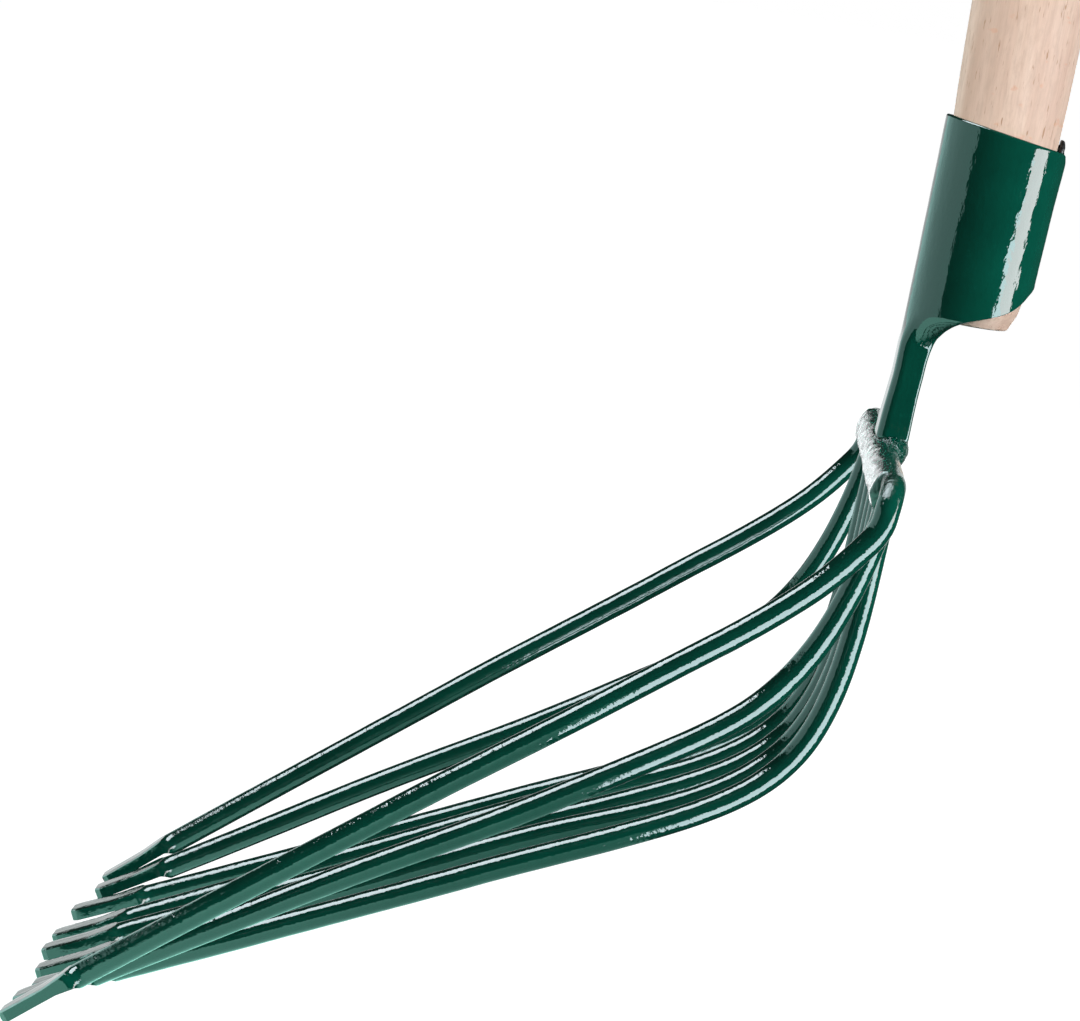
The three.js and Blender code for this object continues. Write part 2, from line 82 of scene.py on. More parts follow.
# ------------------------------------------------------------------ mesh helpers
def make_object(name, verts_mm, faces, smooth_angle=40.0):
    """A mesh object from points in millimetres about the socket mouth."""
    v = np.array(verts_mm, float)
    v[:, 2] -= GRIP
    me = bpy.data.meshes.new(name)
    me.from_pydata((v * 0.001).tolist(), [], [list(map(int, f)) for f in faces])
    me.validate()
    bm = bmesh.new()
    bm.from_mesh(me)
    bmesh.ops.remove_doubles(bm, verts=bm.verts, dist=1e-6)
    bmesh.ops.dissolve_degenerate(bm, dist=1e-7, edges=bm.edges)
    bmesh.ops.recalc_face_normals(bm, faces=bm.faces)
    if bm.calc_volume(signed=True) < 0:
        bmesh.ops.reverse_faces(bm, faces=bm.faces)
    for f in bm.faces:
        f.smooth = True
    for e in bm.edges:
        if len(e.link_faces) == 2 and e.calc_face_angle(0.0) > math.radians(smooth_angle):
            e.smooth = False
    bm.to_mesh(me)
    bm.free()
    ob = bpy.data.objects.new(name, me)
    bpy.context.scene.collection.objects.link(ob)
    return ob


def cubic(points):
    """Natural cubic spline through points; returns f(s) and the chord length."""
    p = np.array(points, float)
    d = np.r_[0.0, np.cumsum(np.linalg.norm(np.diff(p, axis=0), axis=1))]
    n, h = len(d), np.diff(d)
    A, B = np.zeros((n, n)), np.zeros_like(p)
    A[0, 0] = A[-1, -1] = 1.0
    for i in range(1, n - 1):
        A[i, i - 1], A[i, i], A[i, i + 1] = h[i - 1], 2 * (h[i - 1] + h[i]), h[i]
        B[i] = 6 * ((p[i + 1] - p[i]) / h[i] - (p[i] - p[i - 1]) / h[i - 1])
    M = np.linalg.solve(A, B)

    def f(s):
        s = np.atleast_1d(np.asarray(s, float))
        i = np.clip(np.searchsorted(d, s, side="right") - 1, 0, n - 2)
        hi, a, b = h[i][:, None], (d[i + 1] - s)[:, None], (s - d[i])[:, None]
        return (M[i] * a ** 3 + M[i + 1] * b ** 3) / (6 * hi) + (p[i] / hi - M[i] * hi / 6) * a + (p[i + 1] / hi - M[i + 1] * hi / 6) * b

    return f, d[-1]


def by_length(points, straight_end):
    """Curve through points as a function of its own arc length; straight_end is not used."""
    f, total = cubic(points)
    s = np.linspace(0, total, 4000)
    q = f(s)
    L = np.r_[0.0, np.cumsum(np.linalg.norm(np.diff(q, axis=0), axis=1))]

    def g(t):
        t = np.atleast_1d(np.asarray(t, float))
        return np.stack([np.interp(t, L, q[:, k]) for k in range(3)], 1)

    return g, L[-1]


def smooth(t):
    t = np.clip(t, 0.0, 1.0)
    return t * t * (3 - 2 * t)


def tip_section(sigma, to_end, shrink=0.0):
    """Rod or blade sigma mm past the shoulder: half width, power, upper level, lower level, fade of the cuts."""
    w = ROD_R + (TIP_WIDTH / 2 - ROD_R) * smooth((sigma + 4.0) / 5.5)
    power = 2.0 + 7.0 * smooth((sigma + 1.5) / 4.5)
    top = ROD_R - (ROD_R - TIP_TOP) * min(1.0, max(0.0, (sigma + 2.5) / 12.5))
    bottom = ROD_R - (ROD_R - TIP_BOTTOM) * smooth((sigma + 2.5) / 4.0)
    if to_end < TIP_CHAMFER:
        w -= (TIP_CHAMFER - to_end) * 0.9
    fade = smooth((sigma + 2.5) / 2.0)
    return float(w) - shrink, float(power), float(top) - shrink, float(bottom) - shrink, float(fade)


ROUND = (ROD_R, 2.0, ROD_R, ROD_R, 0.0)


def blade_ring(sec, sides, up=1.0):
    """Ring of the section: a rounded bar cut flat above and below, its corners always on vertices."""
    w, power, top, bottom, fade = sec
    a = (np.arange(sides) + 0.5) * 2 * math.pi / sides
    if up < 0:
        top, bottom = bottom, top

    def corner(h):
        if fade <= 0 or h >= ROD_R - 1e-6:
            return math.pi / 4
        c = math.atan2(h, w * max(0.0, 1 - (h / ROD_R) ** power) ** (1 / power))
        return math.pi / 4 + (min(c, math.pi / 3) - math.pi / 4) * fade

    ct, cb = corner(top), corner(bottom)
    knots = [0, math.pi / 4, 3 * math.pi / 4, math.pi, 5 * math.pi / 4, 7 * math.pi / 4, 2 * math.pi]
    places = [0, ct, math.pi - ct, math.pi, math.pi + cb, 2 * math.pi - cb, 2 * math.pi]
    a = np.interp(a, knots, places)
    c, s = np.cos(a), np.sin(a)
    r = (np.abs(c / w) ** power + np.abs(s / ROD_R) ** power) ** (-1.0 / power)
    level = np.where(s > 0, top, bottom) * (1 + 0.8 * (1 - fade)) / np.maximum(np.abs(s), 1e-4)
    q = 22.0
    m = np.minimum(r, level)
    r = m * ((r / m) ** -q + (level / m) ** -q) ** (-1.0 / q) if fade > 0 else r
    return np.stack([r * c, r * s], 1)


def wobble(p, seed, scale, amount):
    q = Vector((p[0] * scale + seed * 7.31, p[1] * scale + seed * 3.7, p[2] * scale - seed * 5.13))
    return noise.noise(q) * amount


def sweep(name, centres, U, V, sections, seed=1, ripple=0.05):
    """Skins rings of section points (u along U, v along V) into one closed mesh."""
    sides = len(sections[0])
    verts, faces = [], []
    for c, u, v, sec in zip(centres, U, V, sections):
        for a, b in sec:
            o = u * a + v * b
            p = c + o
            n = o / max(1e-6, np.linalg.norm(o))
            verts.append(p + n * wobble(p, seed, 0.11, ripple))
    R = len(centres)
    for i in range(R - 1):
        for j in range(sides):
            k = (j + 1) % sides
            faces.append((i * sides + j, i * sides + k, (i + 1) * sides + k, (i + 1) * sides + j))
    for i, flip in ((0, True), (R - 1, False)):
        ring = [i * sides + j for j in range(sides)]
        verts.append(np.mean([verts[r] for r in ring], axis=0))
        m = len(verts) - 1
        for j in range(sides):
            k = (j + 1) % sides
            faces.append((ring[k], ring[j], m) if flip else (ring[j], ring[k], m))
    return make_object(name, verts, faces)


def frames_along(points, start_side):
    """Parallel-transported side and normal vectors along a polyline."""
    P = np.array(points)
    T = np.gradient(P, axis=0)
    T /= np.linalg.norm(T, axis=1)[:, None]
    S = np.zeros_like(P)
    s = np.array(start_side, float)
    s -= T[0] * s.dot(T[0])
    S[0] = s / np.linalg.norm(s)
    for i in range(1, len(P)):
        s = S[i - 1] - T[i] * S[i - 1].dot(T[i])
        S[i] = s / np.linalg.norm(s)
    return T, S, np.cross(T, S)


def shoulder_offsets():
    return [-5, -4, -3.2, -2.6, -2.2, -1.9, -1.6, -1.3, -1.0, -0.7, -0.45, -0.2, 0.0, 0.25, 0.5, 0.8, 1.1, 1.4, 1.8, 2.3, 2.8, 3.4, 4, 4.8, 5.6, 6.5, 7.5, 9, 12, 15, 18, 20.5, 22.5,
            TIP_LENGTH - TIP_CHAMFER - 0.3, TIP_LENGTH - TIP_CHAMFER, TIP_LENGTH - TIP_CHAMFER + 0.4, TIP_LENGTH - 1.2, TIP_LENGTH - 0.6, TIP_LENGTH - 0.3]


def end_rings():
    """Rounded end of a blade: the last section shrinks a little over the last 0.3 mm."""
    return [(o, tip_section(TIP_LENGTH - 0.3 + o, 0.3 - o, k)) for o, k in ((0.12, 0.04), (0.22, 0.12), (0.3, 0.3))]


def stations(profile, side):
    out, rows = [], PROFILES[profile]
    y0, y1, y2 = SPREAD[profile]
    for i, (x, z) in enumerate(rows):
        u = i / (len(rows) - 1)
        y = y0 + (y1 - y0) * u / HEEL_STATION if u < HEEL_STATION else y1 + (y2 - y1) * (u - HEEL_STATION) / (1 - HEEL_STATION)
        out.append(np.array([x, side * y, z]))
    return out


SIDES = 32


def inner_tine(name, profile, side, extra, seed):
    pts = stations(profile, side)
    d = pts[-1] - pts[-2]
    pts[-1] = pts[-1] + d / np.linalg.norm(d) * extra
    pts[0] = np.array([pts[0][0] - 0.3, pts[0][1], TINE_TOP + 0.3])
    g, L = by_length(pts, 0)
    sh = L - TIP_LENGTH
    s = list(np.arange(0, sh - 5.5, 2.2)) + [sh + o for o in shoulder_offsets()]
    params = [tip_section(v - sh, L - v) for v in s]
    for o, sec in end_rings():
        s.append(L - 0.3 + o)
        params.append(sec)
    C = g(np.minimum(s, L))
    T = g(np.minimum(np.array(s) + 0.4, L)) - g(np.maximum(np.array(s) - 0.4, 0))
    T /= np.linalg.norm(T, axis=1)[:, None]
    end_dir = (g([L])[0] - g([sh])[0])
    end_dir /= np.linalg.norm(end_dir)
    for i, v in enumerate(s):
        if v > sh:
            C[i] = g([sh])[0] + end_dir * (v - sh)
            T[i] = end_dir
    U = np.array([0.0, 1.0, 0.0]) - T * T[:, 1:2]
    U /= np.linalg.norm(U, axis=1)[:, None]
    V = np.cross(T, U)
    return sweep(name, C, U, V, [blade_ring(q, SIDES, -1.0) for q in params], seed)


def bow_polyline():
    def half(side):
        arm = stations("outer", side)[1:]
        corner = np.array([CROSSBAR[0], side * CROSSBAR_HALF, CROSSBAR[1]])
        d = np.array([-0.13, 0.0, -0.9915])
        across = np.array([0.0, side, 0.0])
        centre = corner - across * BOW_BEND + d * BOW_BEND
        bend = [centre + across * BOW_BEND * math.sin(a) - d * BOW_BEND * math.cos(a) for a in np.linspace(0, math.pi / 2, 7)]
        return bend, arm
    nb, na = half(-1)
    fb, fa = half(1)
    ys = np.arange(-95, 96, 10.0)
    bar = [np.array([CROSSBAR[0], y, CROSSBAR[1]]) for y in ys]
    return na[::-1] + nb[::-1] + bar + fb + fa


def outer_bow(name, seed):
    g, L = by_length(bow_polyline(), 0)
    shA, shB = TIP_LENGTH, L - TIP_LENGTH
    offs = shoulder_offsets()
    mid = list(np.arange(shA + 6.5, shB - 6.4, 1.9))
    dA = (g([0])[0] - g([shA])[0]); dA /= np.linalg.norm(dA)
    dB = (g([L])[0] - g([shB])[0]); dB /= np.linalg.norm(dB)
    rows = []
    for o, sec in reversed(end_rings()):
        rows.append((0.3 - o, sec))
    for o in reversed(offs):
        rows.append((shA - o, tip_section(o, TIP_LENGTH - o)))
    for m in mid:
        rows.append((m, ROUND))
    for o in offs:
        rows.append((shB + o, tip_section(o, TIP_LENGTH - o)))
    for o, sec in end_rings():
        rows.append((L - 0.3 + o, sec))
    s = np.array([r[0] for r in rows])
    C = g(np.clip(s, 0, L))
    for i, v in enumerate(s):
        if v < shA:
            C[i] = g([shA])[0] + dA * (shA - v)
        elif v > shB:
            C[i] = g([shB])[0] + dB * (v - shB)
    T, S, N = frames_along(C, (0.0, 1.0, 0.0))
    # turn the frame a little along the rod so that the far blade lies flat too
    y = np.array([0.0, 1.0, 0.0])
    target = y - T[-1] * y.dot(T[-1])
    target /= np.linalg.norm(target)
    ang = math.atan2(np.dot(np.cross(S[-1], target), T[-1]), S[-1].dot(target))
    ang = (ang + math.pi / 2) % math.pi - math.pi / 2
    U, V = [], []
    span = s[-1] - s[0]
    for i in range(len(s)):
        k = smooth((s[i] - s[0] - 60) / (span - 120)) * ang
        U.append(S[i] * math.cos(k) + N[i] * math.sin(k))
        V.append(-S[i] * math.sin(k) + N[i] * math.cos(k))
    U, V = np.array(U), np.array(V)
    ups = np.where(V[:, 2] > 0, 1.0, -1.0)
    return sweep(name, C, U, V, [blade_ring(r[1], SIDES, k) for r, k in zip(rows, ups)], seed)


# ------------------------------------------------------------------ socket and neck
def table(t, x):
    hs = np.array([a for a, b in t])[::-1]
    vs = np.array([b for a, b in t])[::-1]
    return float(np.interp(x, hs, vs))


FRONT_X = [[0, -20.25], [-20, -20.7], [-42, -21.2], [-60, -21.6], [-70, -21.9], [-84, -22.3], [-98, -23.7], [-107, -24.3]]
SOCKET_R = [[0, 21.1], [-20, 20.7], [-42, 20.4], [-60, 20.2], [-107, 20.0]]
REAR_X = [[-41, 25], [-42.5, 20.6], [-45, 19.9], [-47.3, 18.9], [-49.5, 17.6], [-52, 16.0], [-54.2, 14.5], [-55.8, 13.0], [-57.3, 11.2], [-58.6, 9.0], [-60.1, 5.2], [-61.5, 1.2], [-62.8, -2.6], [-65, -6.2], [-67.2, -8.4], [-70.5, -10.5], [-77, -12.0], [-92, -13.0], [-107, -13.4]]
SEAM_HALF, WING_CORNER, RIM_SLOPE = 4.8, 5.0, -0.162
NECK_WEB, NECK_BEND = 7.4, 2.6
DS = 0.25
_sections = {}


def section(h):
    key = round(h, 4)
    if key not in _sections:
        R = table(SOCKET_R, h) - SHEET / 2
        t = float(smooth((-62 - h) / 13))
        s = np.arange(0, 321) * DS
        neck = np.where(s < NECK_WEB, 0.0, np.minimum(math.pi / 2, (s - NECK_WEB) / NECK_BEND))
        a = (1 - t) * s / R + t * neck
        m = a + (1 - t) * DS / R / 2
        x = table(FRONT_X, h) + SHEET / 2 + np.r_[0.0, np.cumsum(np.sin(m) * DS)[:-1]]
        y = np.r_[0.0, np.cumsum(np.cos(m) * DS)[:-1]]
        _sections[key] = (s, x, y, a)
    return _sections[key]


def section_end(h):
    s, x, y, a = section(h)
    rear = table(REAR_X, h)
    # the first place past the front where the sheet stops, found between samples
    ok = (np.arange(len(s)) >= 8)
    stop = ok & ((x >= rear) | ((a > math.pi / 2) & (y <= SEAM_HALF)) | (a > 3.0))
    i = int(np.argmax(stop))
    e = s[i]
    if x[i] >= rear and x[i] > x[i - 1]:
        e = s[i - 1] + DS * min(1.0, max(0.0, (rear - x[i - 1]) / (x[i] - x[i - 1])))
    d = -h
    if d < WING_CORNER:
        e -= WING_CORNER - math.sqrt(max(0.0, WING_CORNER ** 2 - (WING_CORNER - d) ** 2))
    return e


def sheet_point(s, h, off, side):
    S, X, Y, A = section(h)
    x, y, a = np.interp(s, S, X), np.interp(s, S, Y), np.interp(s, S, A)
    x, y = x - math.cos(a) * off, y + math.sin(a) * off
    return np.array([x, side * y, h + RIM_SLOPE * x * float(smooth((h + 46) / 46))])


def socket_sheet(name):
    r = SHEET / 2
    hs = [-r * 0.9]
    while hs[-1] > NECK_BOTTOM + r:
        h = hs[-1]
        step = 0.45 if h > -6 else (0.42 if -72 < h < -42.5 else 1.6)
        hs.append(h - step)
    hs[-1] = NECK_BOTTOM + r * 0.9
    ends = np.array([section_end(h) for h in hs])
    k = np.array([1, 2, 3, 2, 1], float) / 9
    soft = np.convolve(np.pad(ends, 2, mode="edge"), k, mode="valid")
    ends = soft
    slope = np.gradient(ends, np.array(hs))
    m = 56
    theta = [math.radians(a) for a in (30, 60, 90)]
    rows = []

    def loop(h, end, sl, shrink, lift):
        """One closed ring round the sheet's cross-section; shrink thins it, lift moves it along the axis."""
        ns, nh = 1 / math.hypot(1, sl), -sl / math.hypot(1, sl)
        if h > -WING_CORNER - 1:
            ns, nh = ns, nh
        o = r * shrink
        outer, inner, lip_r, lip_l = [], [], [], []
        for j in range(-m, m + 1):
            f = abs(j) / m
            side = -1 if j < 0 else 1
            base = (end - r * ns) * f
            hh = h - (r * nh if f == 1 else 0) * 1.0
            outer.append(sheet_point(base, hh + lift, o, side))
            inner.append(sheet_point(base, hh + lift, -o, side))
        for side, lip in ((1, lip_r), (-1, lip_l)):
            for th in (30, 60, 90, 120, 150):
                a = math.radians(th)
                e = o * math.sin(a)
                lip.append(sheet_point(end - r * ns + e * ns, h - r * nh + e * nh + lift, o * math.cos(a), side))
        return outer + lip_r + inner[::-1] + lip_l[::-1]

    first, last = 0, len(hs) - 1
    for a in (80, 60, 40, 20):
        q = math.radians(a)
        rows.append(loop(hs[first], ends[first], slope[first] * 0 if False else slope[first], math.cos(q), r * 0.9 * math.sin(q)))
    for h, e, sl in zip(hs, ends, slope):
        rows.append(loop(h, e, sl, 1.0, 0.0))
    for a in (20, 40, 60, 80):
        q = math.radians(a)
        rows.append(loop(hs[last], ends[last], slope[last], math.cos(q), -r * 0.9 * math.sin(q)))
    verts, faces = [], []
    n = len(rows[0])
    for row in rows:
        for p in row:
            amp = 0.09 if p[2] > -62 else 0.06
            verts.append(p + np.array([wobble(p, 3, 0.09, amp), wobble(p, 4, 0.09, amp), 0]))
    for i in range(len(rows) - 1):
        for j in range(n):
            kk = (j + 1) % n
            faces.append((i * n + j, (i + 1) * n + j, (i + 1) * n + kk, i * n + kk))
    # close the top and bottom lips between the outer and inner lines
    for i, flip in ((0, False), (len(rows) - 1, True)):
        w = 2 * m + 1
        outer = [i * n + j for j in range(w)]
        lip_r = [i * n + w + j for j in range(5)]
        inner = [i * n + w + 5 + j for j in range(w)]      # runs backwards
        lip_l = [i * n + 2 * w + 5 + j for j in range(5)]
        for j in range(w - 1):
            a, b, c, d = outer[j], outer[j + 1], inner[w - 2 - j], inner[w - 1 - j]
            faces.append((a, b, c, d) if not flip else (d, c, b, a))
        ring = [outer[-1]] + lip_r + [inner[0]]
        faces.append(tuple(ring) if not flip else tuple(ring[::-1]))
        ring = [inner[-1]] + lip_l + [outer[0]]
        faces.append(tuple(ring) if not flip else tuple(ring[::-1]))
    return make_object(name, verts, faces, 55)


# ------------------------------------------------------------------ handle and screw
HANDLE_X = 0.1
HANDLE_PROFILE = [[0, -64.4], [6, -64.4], [11.9, -64.35], [12.5, -64.0], [14.8, -58.9], [15.0, -58.2], [16.1, -52.4], [16.35, -49], [16.6, -45], [17.2, -25], [17.85, 0],
                  [18.35, 12], [18.66, 24], [18.95, 40], [19.15, 56], [19.3, 75], [19.42, 95], [19.5, 120], [19.5, 300], [19.5, 500], [19.5, 700], [19.5, 900], [19.5, 1020], [19.45, 1026],
                  [19.2, 1028.5], [18.5, 1031.5], [17.2, 1034], [15.5, 1035.5], [14.0, 1036], [7, 1036], [0, 1036]]


def lathe(name, profile, sides, place, smooth_angle=40, shape=None):
    verts, faces, rings = [], [], []
    for r, z in profile:
        if r < 1e-6:
            verts.append(place(0.0, 0.0, z))
            rings.append([len(verts) - 1])
        else:
            ring = []
            for j in range(sides):
                a = 2 * math.pi * j / sides
                u, v, w = r * math.cos(a), r * math.sin(a), z
                if shape:
                    u, v, w = shape(u, v, w)
                verts.append(place(u, v, w))
                ring.append(len(verts) - 1)
            rings.append(ring)
    for a, b in zip(rings, rings[1:]):
        if len(a) == 1:
            for j in range(sides):
                faces.append((a[0], b[(j + 1) % sides], b[j]))
        elif len(b) == 1:
            for j in range(sides):
                faces.append((a[j], a[(j + 1) % sides], b[0]))
        else:
            for j in range(sides):
                k = (j + 1) % sides
                faces.append((a[j], a[k], b[k], b[j]))
    return make_object(name, verts, faces, smooth_angle)


def handle(name):
    prof = []
    for (r0, z0), (r1, z1) in zip(HANDLE_PROFILE, HANDLE_PROFILE[1:]):
        n = max(1, int(abs(z1 - z0) / 14))
        for i in range(n):
            prof.append([r0 + (r1 - r0) * i / n, z0 + (z1 - z0) * i / n])
    prof.append(HANDLE_PROFILE[-1])

    def shape(u, v, w):
        # sanding leaves the stick very slightly out of round
        k = 1 - 0.004 * (0.5 + 0.5 * noise.noise(Vector((u * 0.05, v * 0.05, w * 0.006))))
        return u * k, v * k, w
    return lathe(name, prof, 96, lambda u, v, w: np.array([u + HANDLE_X, v, w]), 30, shape)


SCREW_X, SCREW_Z, SCREW_HEAD_R, SCREW_HEAD_T, SCREW_SHANK_R = 18.35, -2.5, 3.4, 2.0, 1.75


def screw(name):
    """Round-head screw along X, its head outside the wood, with a cross recess."""
    prof = [[0, -16], [0.5, -15.4], [1.75, -13.8]]
    z = -13.8
    while z < -1.2:                                   # coarse thread
        prof += [[1.35, z + 0.3], [1.75, z + 0.7], [1.75, z + 0.85]]
        z += 1.2
    prof += [[1.75, -0.2], [1.75, 0.0], [3.1, 0.0], [3.3, 0.06], [3.4, 0.25], [3.4, 0.7], [3.33, 1.0], [3.1, 1.3], [2.8, 1.5]]
    for r in np.linspace(2.6, 0.12, 22):
        prof.append([r, 2.0 - 0.5 * (r / 2.8) ** 2])
    prof.append([0, 2.0])

    def shape(u, v, w):
        if w > 1.2:
            arm = min(abs(u), abs(v))
            r = math.hypot(u, v)
            depth = 1.1 * float(smooth((0.62 - arm) / 0.22)) * float(smooth((2.05 - r) / 0.35))
            return u, v, w - depth
        return u, v, w
    return lathe(name, prof, 72, lambda u, v, w: np.array([SCREW_X + w, u, SCREW_Z + v]), 50, shape)


# ------------------------------------------------------------------ welds
def crossbar_bead(name):
    """The long weld run over the front of the crossbar, laid in overlapping ripples."""
    ys = np.arange(-97, 97.01, 0.5)
    sides = 44
    C, U, V, secs = [], [], [], []
    phase = 0.0
    lean = np.array([-0.16, 0.0, -0.987])
    for y in ys:
        phase += 0.5 / (2.6 + 0.9 * noise.noise(Vector((y * 0.07, 3.1, 0))))
        wave = abs(math.sin(math.pi * phase))
        lump = noise.noise(Vector((y * 0.055, 1.7, 9.0))) + 0.5 * noise.noise(Vector((y * 0.19, 4.2, 2.0)))
        close = float(smooth((97.6 - abs(y)) / 3.0)) ** 0.6
        C.append(np.array([-22.6 + 0.30 * lump, y, -113.3 + 0.5 * noise.noise(Vector((y * 0.09, 8.2, 1.0)))]))
        U.append(lean)
        V.append(np.cross(np.array([0, 1.0, 0]), lean))
        ring = []
        for q in np.arange(sides) * 2 * math.pi / sides:
            grit = 0.42 * noise.noise(Vector((y * 0.22, 2.1 * math.cos(q), 2.1 * math.sin(q)))) + 0.22 * noise.noise(Vector((y * 0.6, 4.3 * math.cos(q), 4.3 * math.sin(q) + 7)))
            ring.append(((6.5 + 0.2 * wave + 0.5 * lump + grit) * close * math.cos(q), (3.9 + 0.2 * wave + 0.3 * lump + grit) * close * math.sin(q)))
        secs.append(np.array(ring))
    return sweep(name, C, U, V, secs, 21, 0.25)


def neck_bead(name):
    """Rough weld metal heaped round the end of the neck and over the crossbar."""
    bm = bmesh.new()
    bmesh.ops.create_icosphere(bm, subdivisions=7, radius=1.0)
    verts = []
    for v in bm.verts:
        d = Vector(v.co)
        k = 1 + 0.06 * noise.noise(d * 2.1 + Vector((4, 1, 2))) + 0.045 * noise.noise(d * 5.2) + 0.028 * noise.noise(d * 12.0) + 0.016 * noise.noise(d * 27.0)
        x, y, z = d.x * 6.0 * k - 18.5, d.y * 17.6 * k, d.z * 6.9 * k - 109.6
        ceiling = -105.9 + (1.9 + 1.4 * noise.noise(Vector((x * 0.35, y * 0.1, 5.0))) + 0.5 * noise.noise(Vector((x * 1.1, y * 0.4, 2.0)))) * float(smooth((abs(y) - 9.2) / 1.2))
        verts.append(np.array([x, y, max(-114.5, min(z, ceiling))]))
    faces = [[v.index for v in f.verts] for f in bm.faces]
    bm.free()
    return make_object(name, verts, faces, 60)


# ------------------------------------------------------------------ materials
def new_material(name):
    m = bpy.data.materials.new(name)
    m.use_nodes = True
    nt = m.node_tree
    return m, nt, nt.nodes["Principled BSDF"]


def node(nt, kind, **values):
    n = nt.nodes.new(kind)
    for k, v in values.items():
        if k in n.inputs:
            n.inputs[k].default_value = v
        else:
            setattr(n, k, v)
    return n


def object_coords(nt, scale=(1, 1, 1)):
    tc = nt.nodes.new("ShaderNodeTexCoord")
    mp = nt.nodes.new("ShaderNodeMapping")
    mp.inputs["Scale"].default_value = scale
    nt.links.new(tc.outputs["Object"], mp.inputs["Vector"])
    return mp.outputs["Vector"]


def noise_tex(nt, vec, scale, detail=3.0, rough=0.5, distortion=0.0):
    n = node(nt, "ShaderNodeTexNoise")
    n.inputs["Scale"].default_value = scale
    n.inputs["Detail"].default_value = detail
    n.inputs["Roughness"].default_value = rough
    n.inputs["Distortion"].default_value = distortion
    nt.links.new(vec, n.inputs["Vector"])
    return n.outputs["Fac"]


def ramp(nt, fac, stops):
    r = nt.nodes.new("ShaderNodeValToRGB")
    e = r.color_ramp.elements
    while len(e) < len(stops):
        e.new(0.5)
    for el, (p, c) in zip(e, stops):
        el.position = p
        el.color = (*c, 1.0) if not isinstance(c, (int, float)) else (c, c, c, 1.0)
    nt.links.new(fac, r.inputs["Fac"])
    return r.outputs["Color"]


def mix_color(nt, fac, a, b, mode="MIX"):
    m = nt.nodes.new("ShaderNodeMix")
    m.data_type = "RGBA"
    m.blend_type = mode
    for sock, v in ((m.inputs[0], fac), (m.inputs[6], a), (m.inputs[7], b)):
        if isinstance(v, (int, float)):
            sock.default_value = v
        elif isinstance(v, tuple):
            sock.default_value = (*v, 1.0)
        else:
            nt.links.new(v, sock)
    return m.outputs[2]


def math_node(nt, op, a, b=0.0, clamp=False):
    m = nt.nodes.new("ShaderNodeMath")
    m.operation = op
    m.use_clamp = clamp
    for sock, v in ((m.inputs[0], a), (m.inputs[1], b)):
        if isinstance(v, (int, float)):
            sock.default_value = v
        else:
            nt.links.new(v, sock)
    return m.outputs[0]


def bump(nt, height, distance, below=None):
    b = nt.nodes.new("ShaderNodeBump")
    b.inputs["Strength"].default_value = 1.0
    b.inputs["Distance"].default_value = distance
    nt.links.new(height, b.inputs["Height"])
    if below is not None:
        nt.links.new(below, b.inputs["Normal"])
    return b.outputs["Normal"]


def map_range(nt, v, a, b, c=0.0, d=1.0):
    m = nt.nodes.new("ShaderNodeMapRange")
    m.interpolation_type = "SMOOTHSTEP"
    nt.links.new(v, m.inputs["Value"])
    for k, x in (("From Min", a), ("From Max", b), ("To Min", c), ("To Max", d)):
        m.inputs[k].default_value = x
    return m.outputs["Result"]


